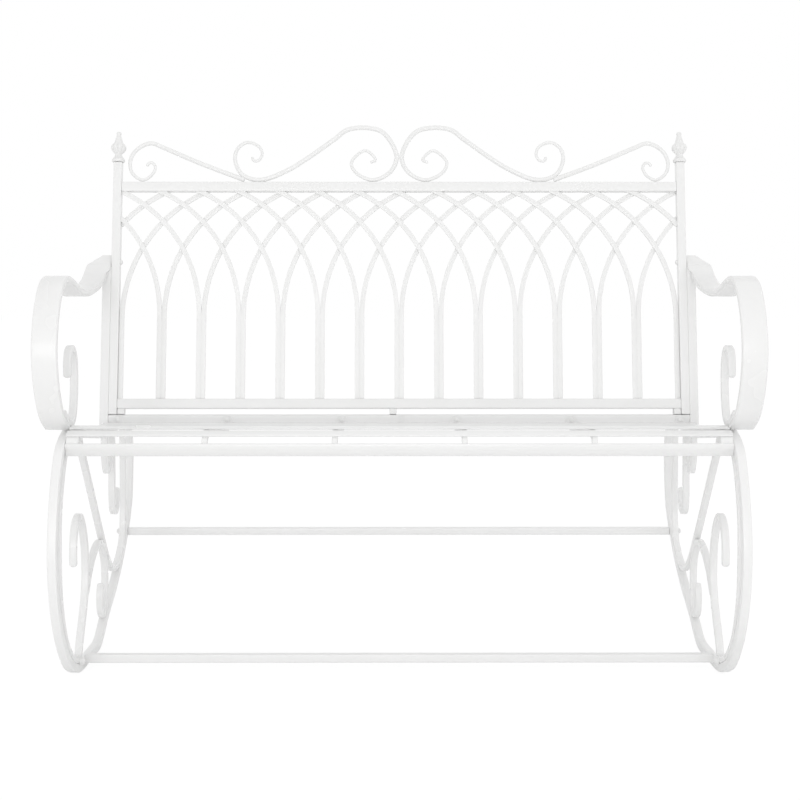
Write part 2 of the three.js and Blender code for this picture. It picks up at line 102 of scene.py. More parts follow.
floor_material, tree = empty_material("studio_floor_paint")
path = add_node(tree, "ShaderNodeLightPath")
to_camera = path.outputs["Is Camera Ray"]
grain_place = add_node(tree, "ShaderNodeTexCoord")
grain = add_node(tree, "ShaderNodeTexNoise", values={"Scale": grains_per_metre, "Detail": 2.0},
                 links={"Vector": grain_place.outputs["Object"]})
floor_rough = add_node(tree, "ShaderNodeMapRange", links={"Value": grain.outputs["Fac"]},
                       values={"To Min": floor_roughness[0], "To Max": floor_roughness[1]})
floor_paint = add_node(tree, "ShaderNodeBsdfDiffuse", values={"Color": to_linear(floor_white)},
                       links={"Roughness": floor_rough.outputs["Result"]})
floor_strength = add_node(tree, "ShaderNodeMapRange", links={"Value": to_camera},
                          values={"To Min": bench_strength, "To Max": seen_strength})
floor_light = add_node(tree, "ShaderNodeEmission",
                       links={"Strength": floor_strength.outputs["Result"]})
floor_share = add_node(tree, "ShaderNodeMapRange", links={"Value": to_camera},
                       values={"To Min": bench_mix, "To Max": seen_mix})
floor_mix = add_node(tree, "ShaderNodeMixShader", links={
    0: floor_share.outputs[0], 1: floor_paint.outputs[0], 2: floor_light.outputs[0]})
add_node(tree, "ShaderNodeOutputMaterial", links={"Surface": floor_mix.outputs[0]})

floor_mesh = bpy.data.meshes.new("studio_floor")
floor_corners = [(x * floor_reach, y * floor_reach, 0)
                 for x, y in ((-1, -1), (1, -1), (1, 1), (-1, 1))]
floor_mesh.from_pydata(floor_corners, [], [(0, 1, 2, 3)])
floor_mesh.materials.append(floor_material)
floor = bpy.data.objects.new("studio_floor", floor_mesh)
bpy.context.collection.objects.link(floor)

# The sky is white where the camera or a reflection sees it, and a little less on the bench.
sky_light = 0.82
white = (1, 1, 1, 1)
world = bpy.data.worlds.new("studio_sky")
bpy.context.scene.world = world
world.use_nodes = True
tree = world.node_tree
tree.nodes.clear()
path = add_node(tree, "ShaderNodeLightPath")
seen = add_node(tree, "ShaderNodeMath", {"operation": "MAXIMUM"}, links={
    0: path.outputs["Is Camera Ray"], 1: path.outputs["Is Glossy Ray"]})
dim_sky = add_node(tree, "ShaderNodeBackground", values={"Color": white, "Strength": sky_light})
white_sky = add_node(tree, "ShaderNodeBackground", values={"Color": white, "Strength": 1.0})
sky_mix = add_node(tree, "ShaderNodeMixShader", links={
    0: seen.outputs[0], 1: dim_sky.outputs[0], 2: white_sky.outputs[0]})
add_node(tree, "ShaderNodeOutputWorld", links={"Surface": sky_mix.outputs[0]})


def add_lamp(name, place, aim, size, power):
    """A softbox of that size in metres and power in watts, turned from its place to its aim."""
    lamp = bpy.data.lights.new(name, "AREA")
    lamp.shape = "RECTANGLE"
    lamp.size, lamp.size_y = size
    lamp.energy = power
    lamp_object = bpy.data.objects.new(name, lamp)
    direction = np.array(aim) - np.array(place)
    flat = math.hypot(direction[0], direction[1])
    lamp_object.location = place
    lamp_object.rotation_euler = (math.pi / 2 + math.atan2(direction[2], flat), 0,
                                  math.atan2(direction[1], direction[0]) - math.pi / 2)
    bpy.context.collection.objects.link(lamp_object)


add_lamp("front_softbox", (-0.5, -4.2, 0.8), (0, 0, 0.4), (3.2, 1.8), 39)
add_lamp("right_softbox", (3.4, -2.2, 1.6), (0, 0, 0.5), (1.6, 2.2), 8)
add_lamp("top_softbox", (0.3, 0.6, 3.6), (0, 0, 0.5), (2.4, 2.4), 5)


# The rockers: two lengths of 16 mm square steel tube, rolled to the rocker's curve and
# coated white. Each runs from the seat's front round the foot and forward again to the arm
# post.
side_tube = 0.016
seat_height = 0.457
seat_depth = 0.384
side_depth = 0.771
tube_corner = 0.0022
fine_step = 0.004
samples_per_span = 24

back_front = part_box("seat_rear_rail")[0][1]
side_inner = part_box("rocker_right")[0][0]
seat_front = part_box("seat_rear_rail")[1][1] - seat_depth
side_middle = seat_front + 0.401 * side_depth

# Points on the side are shares of its depth, from its middle, and of the seat's height.
rocker_front_shares = [
    (-0.319, 1.011), (-0.376, 0.982), (-0.418, 0.94), (-0.457, 0.836), (-0.485, 0.711),
    (-0.5, 0.551), (-0.486, 0.389), (-0.437, 0.221), (-0.354, 0.079), (-0.299, 0.033),
    (-0.245, 0.0065), (-0.2, 0)]
rocker_rear_shares = [
    (-0.012, 0), (0.02, 0.011), (0.058, 0.041), (0.108, 0.09), (0.266, 0.212), (0.396, 0.363),
    (0.476, 0.503), (0.503, 0.656), (0.505, 0.814), (0.477, 0.897), (0.415, 0.934),
    (0.311, 0.943)]
upper_bar_top = 0.956 * seat_height
rocker_end = (back_front + 0.005, upper_bar_top)


def travelled_along(line):
    """The distance travelled at each point of a line: the lengths between points, summed."""
    return np.concatenate([[0], np.cumsum(np.linalg.norm(np.diff(line, axis=0), axis=1))])


def even_line(line, step=fine_step):
    """The same line with points at even steps, by linear interpolation along its length."""
    line = np.asarray(line, float)
    travelled = travelled_along(line)
    stations = np.linspace(0, travelled[-1], max(2, int(round(travelled[-1] / step)) + 1))
    return np.column_stack([np.interp(stations, travelled, line[:, k]) for k in range(2)])


def smooth_line(points, step=fine_step):
    """A curve through points p: between each two, the centripetal Catmull-Rom blend, whose
    knots are the square root of the distance apart; then even steps along its length."""
    p = np.asarray(points, float)
    p = np.vstack([2 * p[0] - p[1], p, 2 * p[-1] - p[-2]])
    knots = np.concatenate([[0], np.cumsum(np.sqrt(np.linalg.norm(np.diff(p, axis=0), axis=1)))])
    part = np.linspace(0, 1, samples_per_span, endpoint=False)[:, None]
    spans = []
    for i in range(1, len(p) - 2):
        t = knots[i] + part * (knots[i + 1] - knots[i])
        k0, k1, k2, k3 = knots[i - 1:i + 3]
        a1 = (k1 - t) / (k1 - k0) * p[i - 1] + (t - k0) / (k1 - k0) * p[i]
        a2 = (k2 - t) / (k2 - k1) * p[i] + (t - k1) / (k2 - k1) * p[i + 1]
        a3 = (k3 - t) / (k3 - k2) * p[i + 1] + (t - k2) / (k3 - k2) * p[i + 2]
        b1 = (k2 - t) / (k2 - k0) * a1 + (t - k0) / (k2 - k0) * a2
        b2 = (k3 - t) / (k3 - k1) * a2 + (t - k1) / (k3 - k1) * a3
        spans.append((k2 - t) / (k2 - k1) * b1 + (t - k1) / (k2 - k1) * b2)
    return even_line(np.vstack([*spans, p[-2:-1]]), step)


def leftward(line):
    """Unit vectors to a line's left: its direction (u, v), by central differences, turned to
    (-v, u)."""
    along = np.gradient(line, axis=0)
    along /= np.linalg.norm(along, axis=1)[:, None]
    return np.column_stack([-along[:, 1], along[:, 0]])


def shifted(line, distance):
    return line + distance * leftward(line)


def rounded_bar(thick, wide, corner, steps=4):
    """A closed section: a rectangle with quarter circles at its corners, each point the
    corner's centre plus the radius times (cos a, sin a), as (left, out) pairs."""
    turn = np.linspace(0, math.pi / 2, steps + 1)
    loop = []
    for k, (a, b) in enumerate([(1, 1), (-1, 1), (-1, -1), (1, -1)]):
        centre = np.array([a * (thick / 2 - corner), b * (wide / 2 - corner)])
        angle = turn + k * math.pi / 2
        loop.append(centre + corner * np.column_stack([np.cos(angle), np.sin(angle)]))
    return np.vstack(loop)


def skinned(rings):
    """Rings of points as a closed shape: a quad between each two points of one ring and the
    next, and one face over each end."""
    count, around = rings.shape[:2]
    index = np.arange(count * around).reshape(count, around)
    after = np.roll(index, -1, axis=1)
    quads = np.stack([index[:-1], after[:-1], after[1:], index[1:]], axis=-1).reshape(-1, 4)
    return rings.reshape(-1, 3), [*quads.tolist(), index[0, ::-1].tolist(), index[-1].tolist()]


def carried(line, section, edge=0.0012, swell=None):
    """A section carried along a flat line: point = line + left * leftward, with out square to
    the plane. The ends are closed, with their rim drawn in by edge as a small bevel. swell
    gives the section's size at each point of the line."""
    size = np.ones(len(line)) if swell is None else swell
    left = size[:, None] * section[None, :, 0]
    rings = np.zeros((len(line), len(section), 3))
    rings[:, :, :2] = line[:, None, :] + left[:, :, None] * leftward(line)[:, None, :]
    rings[:, :, 2] = size[:, None] * section[None, :, 1]
    shrink = 1 - edge / np.abs(section).max()
    for end, inner in ((0, 1), (-1, -2)):
        direction = (line[end] - line[inner]) / np.linalg.norm(line[end] - line[inner])
        middle = np.array([*line[end], 0.0])
        rim = middle + (rings[end] - middle) * shrink
        rings[end, :, :2] -= edge * direction
        rings = np.concatenate([rim[None], rings] if end == 0 else [rings, rim[None]])
    return skinned(rings)


def in_side_plane(shape, place):
    """Takes (u, v, out) to x = place + out, y = u, z = v."""
    points, faces = shape
    return np.column_stack([points[:, 2] + place, points[:, 0], points[:, 1]]), faces


def turned_over(faces):
    return [face[::-1] for face in faces]


def mirrored(shape):
    """The same shape with x turned round, and its faces' order too, so they still point out."""
    points, faces = shape
    return points * np.array([-1.0, 1.0, 1.0]), turned_over(faces)


# Edges over 40 degrees stay sharp, so that rounded corners shade smoothly between flat sides.
sharp_angle = math.radians(40)


def add_piece(name, shape, material, *nodes):
    """Makes a piece from points and faces. It rides on the frame's body and stands for the
    nodes named."""
    points, faces = shape
    mesh = bpy.data.meshes.new(name)
    mesh.from_pydata(np.asarray(points).tolist(), [], faces)
    mesh.shade_smooth()
    mesh.set_sharp_from_angle(angle=sharp_angle)
    mesh.materials.append(material)
    piece = bpy.data.objects.new(name, mesh)
    bpy.context.collection.objects.link(piece)
    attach(piece, "root")
    if nodes:
        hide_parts(*nodes)


def add_pair(name, shape, material, is_node=True):
    """A piece on the bench's right side, and its mirror image on the left one."""
    for side, side_shape in (("right", shape), ("left", mirrored(shape))):
        nodes = [f"{name}_{side}"] if is_node else []
        add_piece(f"{name}_{side}_shell", side_shape, material, *nodes)


coat_white = "#F0F0F0"
drift_white = "#EBEBEA"
drifts_per_metre = 9.0
peel_width = 0.004
peel_height = 0.00005
peel_strength = 0.14


def powder_coat(name, white, rough, offset):
    """Gloss polyester powder coat, sprayed and baked on steel. It flows out with a slight
    orange peel, 4 mm from crest to crest and a few hundredths high, and gathers a little
    unevenly, so the shine and the tone drift along a piece."""
    material, tree = empty_material(name)
    place = add_node(tree, "ShaderNodeTexCoord")
    moved = add_node(tree, "ShaderNodeMapping", links={"Vector": place.outputs["Object"]},
                     values={"Location": (offset, 2 * offset, -offset)})
    cloud = add_node(tree, "ShaderNodeTexNoise", links={"Vector": moved.outputs[0]},
                     values={"Scale": drifts_per_metre, "Detail": 3.0})
    tone = add_node(tree, "ShaderNodeMix", {"data_type": "RGBA"},
                    links={"Factor": cloud.outputs["Fac"]})
    first_tone, second_tone = [socket for socket in tone.inputs if socket.type == "RGBA"]
    first_tone.default_value = to_linear(white)
    second_tone.default_value = to_linear(drift_white)
    colour = next(socket for socket in tone.outputs if socket.type == "RGBA")
    shine = add_node(tree, "ShaderNodeMapRange", links={"Value": cloud.outputs["Fac"]},
                     values={"To Min": rough - 0.05, "To Max": rough + 0.06})
    peel = add_node(tree, "ShaderNodeTexNoise", links={"Vector": moved.outputs[0]},
                    values={"Scale": 1 / peel_width, "Detail": 0.0})
    bump = add_node(tree, "ShaderNodeBump", links={"Height": peel.outputs["Fac"]},
                    values={"Strength": peel_strength, "Distance": peel_height})
    coat = add_node(tree, "ShaderNodeBsdfPrincipled", values={"Metallic": 0.0, "IOR": 1.5},
                    links={"Base Color": colour, "Roughness": shine.outputs["Result"],
                           "Normal": bump.outputs["Normal"]})
    add_node(tree, "ShaderNodeOutputMaterial", links={"Surface": coat.outputs[0]})
    return material


def side_points(shares):
    return [(side_middle + back * side_depth, up * seat_height) for back, up in shares]


# The foot is straight between the two curves. The line is the tube's outer face.
tube_coat = powder_coat("powder_coat_on_square_tube", coat_white, 0.30, 0.3)
foot_line = even_line(side_points([rocker_front_shares[-1], rocker_rear_shares[0]]))
rocker_outer = even_line(np.vstack([
    smooth_line(side_points(rocker_front_shares)), foot_line[1:-1],
    smooth_line([*side_points(rocker_rear_shares), rocker_end])]))
rocker_low, rocker_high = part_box("rocker_right")
rocker_outer = np.clip(rocker_outer, rocker_low[1:], rocker_high[1:])
rocker_section = rounded_bar(side_tube, side_tube, tube_corner)
rocker = carried(shifted(rocker_outer, side_tube / 2), rocker_section)
add_pair("rocker", in_side_plane(rocker, side_inner + side_tube / 2), tube_coat)


# The scroll work inside each rocker: 14 mm by 12 mm bars, bent cold over a former and welded
# where they touch. A brace runs down from the seat and up again, a liner turns up into the
# big scroll with a second curl off it, and a hook and a small scroll hang behind.
bar_wide = 0.014
bar_thick = 0.012
bar_corner = 0.0026
bar_step = 0.003
brace_shares = [
    (-0.227, 0.98), (-0.076, 0.717), (0.075, 0.453), (0.134, 0.359), (0.184, 0.304),
    (0.246, 0.278), (0.307, 0.309), (0.355, 0.368), (0.377, 0.455), (0.383, 0.569),
    (0.383, 0.766), (0.38, 0.928)]
liner_shares = [
    (-0.357, 0.95), (-0.406, 0.827), (-0.437, 0.678), (-0.442, 0.525), (-0.432, 0.368),
    (-0.387, 0.204), (-0.32, 0.103), (-0.279, 0.072), (-0.246, 0.059), (-0.226, 0.07),
    (-0.213, 0.114), (-0.18, 0.197), (-0.154, 0.271), (-0.139, 0.354), (-0.14, 0.438),
    (-0.153, 0.525), (-0.178, 0.591), (-0.213, 0.632), (-0.249, 0.613), (-0.27, 0.56),
    (-0.276, 0.499), (-0.275, 0.444)]
lower_curl_shares = [
    (-0.14, 0.29), (-0.093, 0.372), (-0.045, 0.425), (0, 0.451), (0.032, 0.455),
    (0.058, 0.442), (0.08, 0.409), (0.099, 0.363), (0.109, 0.311), (0.11, 0.247),
    (0.102, 0.179), (0.078, 0.125), (0.053, 0.142), (0.043, 0.188), (0.044, 0.234),
    (0.057, 0.269)]
rear_hook_shares = [
    (0.119, 0.928), (0.119, 0.814), (0.143, 0.746), (0.175, 0.77), (0.197, 0.827), (0.22, 0.88)]
rear_strand_shares = [
    (0.22, 0.928), (0.22, 0.716), (0.22, 0.591), (0.23, 0.551), (0.253, 0.536), (0.275, 0.556),
    (0.281, 0.602), (0.278, 0.641)]

# Bars that cross differ by a few tenths in width, so that no two faces share a plane.
bar_coat = powder_coat("powder_coat_on_bent_bar", "#F1F1F1", 0.27, 1.7)
main_bar, side_branch, brace_bar = [
    rounded_bar(bar_thick, bar_wide - less, bar_corner) for less in (0.0003, 0.0007, 0.0011)]


def joined(*shapes):
    """Several shapes as one: points stacked, and each shape's faces counted on from them."""
    points, faces, start = [], [], 0
    for shape_points, shape_faces in shapes:
        points.append(np.asarray(shape_points))
        faces += [[start + i for i in face] for face in shape_faces]
        start += len(shape_points)
    return np.vstack(points), faces


def with_round_end(line, radius):
    """The line with its last points at length - r + r sin a, a from 0 to 1.4, and the bar's
    size at each point: 1, and then cos a over the last ones, for a half round end."""
    travelled = travelled_along(line)
    turn = np.linspace(0, 1.4, 8)
    plain = travelled[travelled < travelled[-1] - radius - 0.001]
    stations = np.concatenate([plain, travelled[-1] - radius + radius * np.sin(turn)])
    points = np.column_stack([np.interp(stations, travelled, line[:, k]) for k in range(2)])
    return points, np.concatenate([np.ones(len(plain)), np.cos(turn)])


def plain_bar(points, section):
    return in_side_plane(carried(smooth_line(points, bar_step), section), side_inner + bar_wide / 2)


def tipped_bar(points, section):
    line, size = with_round_end(smooth_line(points, bar_step), bar_thick / 2)
    bar = carried(line, section, edge=0.0001, swell=size)
    return in_side_plane(bar, side_inner + bar_wide / 2)


add_pair("side_brace", plain_bar(side_points(brace_shares), brace_bar), bar_coat)
add_pair("lower_scroll", joined(tipped_bar(side_points(liner_shares), main_bar),
                                tipped_bar(side_points(lower_curl_shares), side_branch)), bar_coat)
add_pair("rear_scroll", joined(tipped_bar(side_points(rear_strand_shares), main_bar),
                               plain_bar(side_points(rear_hook_shares), side_branch)), bar_coat)


# The armrests: flat oval-edged tube, 45 mm wide and 12 mm thick, rolled into a long S that
# drops forward from the post and curls under to the rocker's top. A bar scroll fills the
# curl.
arm_wide = 0.045
arm_thick = 0.012
arm_corner = 0.0035
arm_rise = 0.2785
lean = math.radians(8.62)
arm_front = side_middle - 0.345 * side_depth
arm_reach = back_front + arm_rise * math.tan(lean) - arm_front

# Points on the armrest are shares of its reach, from its front, and of its rise over the seat.
arm_shares = [
    (1.067, 1.16), (1.025, 1.106), (0.937, 1.02), (0.82, 0.962), (0.684, 0.93), (0.529, 0.908),
    (0.425, 0.908), (0.297, 0.93), (0.155, 0.977), (0.016, 1), (-0.093, 0.962),
    (-0.183, 0.855), (-0.245, 0.711), (-0.277, 0.531), (-0.253, 0.352), (-0.191, 0.197),
    (-0.12, 0.093), (0, 0.01)]
arm_curl_shares = [
    (-0.071, 0.126), (0.011, 0.061), (0.076, 0.039), (0.131, 0.061), (0.166, 0.115),
    (0.188, 0.208), (0.199, 0.327), (0.191, 0.434), (0.161, 0.506), (0.117, 0.528),
    (0.071, 0.51), (0.044, 0.445), (0.044, 0.341)]


def arm_points(shares):
    return [(arm_front + back * arm_reach, seat_height + up * arm_rise) for back, up in shares]


arm_coat = powder_coat("powder_coat_on_flat_tube", coat_white, 0.26, 3.1)
arm_outer = smooth_line(arm_points(arm_shares), bar_step)
arm_section = rounded_bar(arm_thick, arm_wide, arm_corner, 6)
arm_shell, arm_faces = in_side_plane(carried(shifted(arm_outer, arm_thick / 2), arm_section),
                                     side_inner + arm_wide / 2)

# Behind the back's front, the outer corner is cut off: the pairs are a drop below the
# armrest's top and the width left there. The inner edge widens a little towards the post.
corner_drops, corner_widths = np.array([(0.040, arm_wide), (0.020, arm_wide - 0.003), (0, 0.014)]).T
flare_drops = (0.036, 0.028)
flare = 0.0062
inner_edge = 0.008
arm_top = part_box("armrest_right")[1][2]
behind = arm_shell[:, 1] > back_front
corner_line = np.interp(arm_shell[:, 2], arm_top - corner_drops, side_inner + corner_widths)
arm_shell[:, 0] = np.where(behind, np.minimum(arm_shell[:, 0], corner_line), arm_shell[:, 0])
flare_line = np.interp(arm_shell[:, 2], [arm_top - drop for drop in flare_drops], [0, flare])
arm_shell[:, 0] -= np.where(behind & (arm_shell[:, 0] < side_inner + inner_edge), flare_line, 0)
add_pair("armrest", (arm_shell, arm_faces), arm_coat)
add_pair("arm_scroll", tipped_bar(arm_points(arm_curl_shares), main_bar), bar_coat)


# The arm posts: straight square tube beside the back's posts, leaning with them, from the
# rocker's upper bar to the underside of the armrest.
tube = 0.017
post_corner = 0.001
seam = 0.0004
arm_post_low, arm_post_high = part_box("arm_post_right")
arm_post_middle = np.mean([arm_post_low[0], arm_post_high[0]])
arm_post_ends = np.array([upper_bar_top - side_tube + 0.001, arm_post_high[2] - 0.004])


def leaning_line(heights, behind_front):
    """A straight line up the back's lean between two heights: y = front + (z - seat height)
    tan lean + distance behind the front / cos lean."""
    places = back_front + (heights - seat_height) * math.tan(lean) + behind_front / math.cos(lean)
    return np.column_stack([places, heights])


square_tube = rounded_bar(tube, tube, post_corner)
arm_post_tube = rounded_bar(tube, tube + seam, post_corner)
arm_post_line = even_line(leaning_line(arm_post_ends, tube / 2))[::-1]
arm_post = carried(arm_post_line, arm_post_tube)
add_pair("arm_post", in_side_plane(arm_post, arm_post_middle - seam / 2), tube_coat)


# The seat: a bent tube at each end, four ribs, and eight slats of pressed sheet, two of them
# narrow ones at the rolled front edge. The slats are spot welded to the ribs and end tubes.
seat_drop = 0.043
seat_shares = [
    (0.034, -1), (0.013, -0.791), (0, -0.535), (0.003, -0.302), (0.018, -0.093), (0.05, 0.07),
    (0.102, 0.186), (0.154, 0.221), (0.245, 0.128), (0.389, -0.012), (0.527, -0.151),
    (0.658, -0.267), (0.789, -0.337), (0.885, -0.302), (0.958, -0.256), (1, -0.256)]
slat_thick = 0.004
weld_gap = 0.0003
rib_wide = 0.010
rib_thick = 0.012
rib_corner = 0.0015
seat_line = smooth_line([(seat_front + back * seat_depth, seat_height + up * seat_drop)
                         for back, up in seat_shares], 0.001)
seat_travelled = travelled_along(seat_line)


def seat_stretch(start, end):
    """The part of the seat's top line between two distances along it."""
    stations = np.linspace(start, end, max(3, int((end - start) / 0.002)))
    return np.column_stack([np.interp(stations, seat_travelled, seat_line[:, k])
                            for k in range(2)])


def distance_to(place):
    """The distance along the seat's line at which it passes a depth, past its rolled front."""
    beyond = np.nonzero(seat_line[:, 0] >= place)[0]
    return seat_travelled[beyond[beyond > len(seat_line) // 4][0]]


def under_slats(start, thick):
    """The middle line of a bar under the slats, from a distance along the seat to its rear."""
    return shifted(seat_stretch(start, seat_end), -(slat_thick + weld_gap + thick / 2))


seat_end = distance_to(back_front + tube - 0.0002)
end_inner, end_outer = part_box("seat_end_right")[0][0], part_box("seat_end_right")[1][0]
end_section = rounded_bar(tube, end_outer - end_inner, tube_corner)
end_shell, end_faces = in_side_plane(carried(under_slats(0.001, tube), end_section),
                                     (end_inner + end_outer) / 2)
beside_post = end_shell[:, 1] > back_front - 0.006
post_side = np.minimum(end_shell[:, 0], arm_post_middle - tube / 2)
end_shell[:, 0] = np.where(beside_post, post_side, end_shell[:, 0])
add_pair("seat_end", (end_shell, end_faces), tube_coat)

slat_coat = powder_coat("powder_coat_on_pressed_sheet", "#EFEFEF", 0.24, 4.4)
slat_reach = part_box("seat_slat_1")[1][0]
slat_gap = 0.013
flat_slats = 6
nose_slat = (0.002, 0.0305)
crest_slat = (0.0455, 0.064)
flat_pitch = (distance_to(back_front) - crest_slat[1] - slat_gap) / flat_slats
slat_stretches = [nose_slat, crest_slat] + [
    (crest_slat[1] + slat_gap + i * flat_pitch, crest_slat[1] + (i + 1) * flat_pitch)
    for i in range(flat_slats)]
slat_bevel = 0.0008
slat_draw = 0.0006


def slat_shape(start, end):
    """A slat: the seat line's stretch as a plate, with its long edges rolled over in a half
    circle of half the plate's thickness, drawn across the bench and closed at both ends."""
    rim = slat_thick / 2
    middle = shifted(seat_stretch(start, end), -rim)
    sides = leftward(middle)
    along = np.column_stack([sides[:, 1], -sides[:, 0]])
    turn = np.linspace(0, math.pi, 9)[1:-1]
    front = np.outer(np.cos(turn[::-1]), sides[0]) - np.outer(np.sin(turn), along[0])
    rear = np.outer(np.cos(turn), sides[-1]) + np.outer(np.sin(turn), along[-1])
    inset = int(np.ceil(rim / np.linalg.norm(middle[1] - middle[0])))
    middle, sides = middle[inset:-inset], sides[inset:-inset]
    loop = np.vstack([middle + rim * sides, middle[-1] + rim * rear,
                      (middle - rim * sides)[::-1], middle[0] + rim * front])
    inward = loop.mean(axis=0) - loop
    drawn = loop + slat_draw * inward / np.linalg.norm(inward, axis=1)[:, None]
    bevel_reach = slat_reach - slat_bevel
    across = [(-slat_reach, drawn), (-bevel_reach, loop), (bevel_reach, loop), (slat_reach, drawn)]
    points, faces = skinned(np.array([np.column_stack([np.full(len(loop), x), ring])
                                      for x, ring in across]))
    return points, turned_over(faces)


for number, (start, end) in enumerate(slat_stretches, 1):
    add_piece(f"seat_slat_{number}_sheet", slat_shape(start, end), slat_coat, f"seat_slat_{number}")

rib_shape = carried(under_slats(0.008, rib_thick), rounded_bar(rib_thick, rib_wide, rib_corner))
rib_places = [np.mean([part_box(f"seat_rib_{number}")[0][0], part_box(f"seat_rib_{number}")[1][0]])
              for number in (1, 2, 3, 4)]
for number, rib_place in enumerate(rib_places, 1):
    add_piece(f"seat_rib_{number}_bar", in_side_plane(rib_shape, rib_place), tube_coat,
              f"seat_rib_{number}")


def level_tube(node):
    """A straight tube that fills a node's box, along x, with (u, v, out) taken to x, z, y."""
    low, high = (np.array(corner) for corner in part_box(node))
    middle = (low + high) / 2
    line = even_line([(low[0], middle[2]), (high[0], middle[2])], 0.05)
    section = rounded_bar(high[2] - low[2], high[1] - low[1], tube_corner)
    points, faces = carried(line, section)
    return (np.column_stack([points[:, 0], points[:, 2] + middle[1], points[:, 1]]),
            turned_over(faces))


add_piece("seat_rear_rail_tube", level_tube("seat_rear_rail"), tube_coat, "seat_rear_rail")


# The stretchers: two straight lengths of the same square tube that tie the rockers together,
# bolted through them, one low at the front and one higher up at the rear.
for name in ("stretcher_front", "stretcher_rear"):
    add_piece(f"{name}_tube", level_tube(name), tube_coat, name)


# The back's frame: square tube posts and rails in one plane that leans back. The rails are
# welded between the posts, and three short feet lift the lower rail off the seat's rail.
back_rail = 0.020
bottom_rail_foot = 0.015
bottom_rail_top = bottom_rail_foot + back_rail
lattice_rise = 0.4235
top_rail_foot = bottom_rail_top + lattice_rise
top_rail_top = top_rail_foot + back_rail
post_top = top_rail_top + 0.0415
post_bead = 0.0012
foot_wide = 0.014
foot_corner = 0.0015
middle_foot = -0.0125

seat_rail_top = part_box("seat_rear_rail")[1][2]
back_foot = (seat_rail_top - seat_height + weld_gap) / math.cos(lean) + post_bead
back_post_low, back_post_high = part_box("back_post_right")
half_back = back_post_low[0]
post_middle = np.mean([half_back, back_post_high[0]])
side_foot = half_back - 0.001 - foot_wide / 2
rail_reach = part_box("back_top_rail")[1][0]


def up_the_back(points):
    """Takes x, depth and rise in the leaning plane to the bench: y = front + depth cos lean +
    rise sin lean, z = seat height - depth sin lean + rise cos lean."""
    x, depth, rise = points.T
    return np.column_stack([x, back_front + depth * math.cos(lean) + rise * math.sin(lean),
                            seat_height - depth * math.sin(lean) + rise * math.cos(lean)])


def in_back_plane(shape):
    """Takes (u, v, out) to x = u, depth = half a tube + out, rise = v on the leaning back."""
    points, faces = shape
    leaning = np.column_stack([points[:, 0], points[:, 2] + tube / 2, points[:, 1]])
    return up_the_back(leaning), turned_over(faces)


def back_tube(start, end, section):
    return in_back_plane(carried(even_line([start, end], 0.05), section))


def back_rail_tube(foot):
    middle = foot + back_rail / 2
    return back_tube((-rail_reach, middle), (rail_reach, middle),
                     rounded_bar(back_rail, tube, tube_corner))


add_pair("back_post", back_tube((post_middle, back_foot), (post_middle, post_top), square_tube),
         tube_coat)
add_piece("back_top_rail_tube", back_rail_tube(top_rail_foot), tube_coat, "back_top_rail")
for side, place in (("left", -side_foot), ("middle", middle_foot), ("right", side_foot)):
    foot = back_tube((place, back_foot), (place, bottom_rail_foot),
                     rounded_bar(foot_wide, tube, foot_corner))
    add_piece(f"back_foot_{side}_block", foot, tube_coat, f"back_foot_{side}")
add_piece("back_bottom_rail_tube", back_rail_tube(bottom_rail_foot), tube_coat, "back_bottom_rail")


# The lattice: flat strips 9.5 mm wide and 5 mm thick, in two layers that cross. Each rises
# straight from the lower rail and then leans over on an arc, two bays across at the top.
bay_count = 14
edge_space = 0.006
bay_pitch = 2 * (half_back - edge_space) / bay_count
post_shift = edge_space - 2 * weld_gap
strip_wide = 0.0095
strip_thick = 0.005
strip_corner = 0.0004
arch_foot = bottom_rail_top + 0.172
arch_rise = top_rail_foot - arch_foot
arch_span = 2 * bay_pitch
arch_radius = (arch_rise ** 2 + arch_span ** 2) / (2 * arch_span)
into_rail = 0.004
layer_depth = 0.00015 + strip_thick / 2
layer_start = arch_foot - 0.01
layer_climb = 0.08
strip_coat = powder_coat("powder_coat_on_flat_strip", "#EFEFEF", 0.30, 5.9)
strip_section = rounded_bar(strip_wide, strip_thick, strip_corner, 3)


def strip_shape(bay, side):
    """A strip: straight up to the arch's foot, and then across = R - sqrt(R^2 - rise^2), cut
    off where it comes inside a post or the top rail. An outermost strip stands against its
    post and comes back to its arc as it rises. Two strips stand side by side at the foot, and
    move to their own layers by a cosine step above it."""
    start = (bay - bay_count / 2) * bay_pitch + side * strip_wide / 2
    outermost = bay == (0 if side > 0 else bay_count)
    shift = -side * post_shift if outermost else 0
    rise = np.linspace(0, arch_rise + into_rail, 60)
    across = start + side * (arch_radius - np.sqrt(arch_radius ** 2 - rise ** 2))
    curve = np.column_stack([across + shift * (1 - rise / arch_rise), arch_foot + rise])
    curve = np.vstack([[start + shift, bottom_rail_top], curve])
    curve = curve[np.abs(curve[:, 0]) < post_middle - tube / 4]
    points, faces = carried(even_line(curve), strip_section)
    climb = np.clip((points[:, 1] - layer_start) / layer_climb, 0, 1)
    points[:, 2] += side * layer_depth * (0.5 - 0.5 * np.cos(math.pi * climb))
    return in_back_plane((points, faces))


# An arch is the two strips that meet at its top. The second arch from each post also holds
# the strip that rises from its own foot into the post.
for node in range(bay_count + 1):
    strips = []
    if node > 0:
        strips.append(strip_shape(node - 2, 1))
    if node < bay_count:
        strips.append(strip_shape(node + 2, -1))
    if node == 1:
        strips.append(strip_shape(node, -1))
    if node == bay_count - 1:
        strips.append(strip_shape(node, 1))
    arch = f"lattice_arch_{node + 1}"
    add_piece(f"{arch}_strips", joined(*strips), strip_coat, arch)


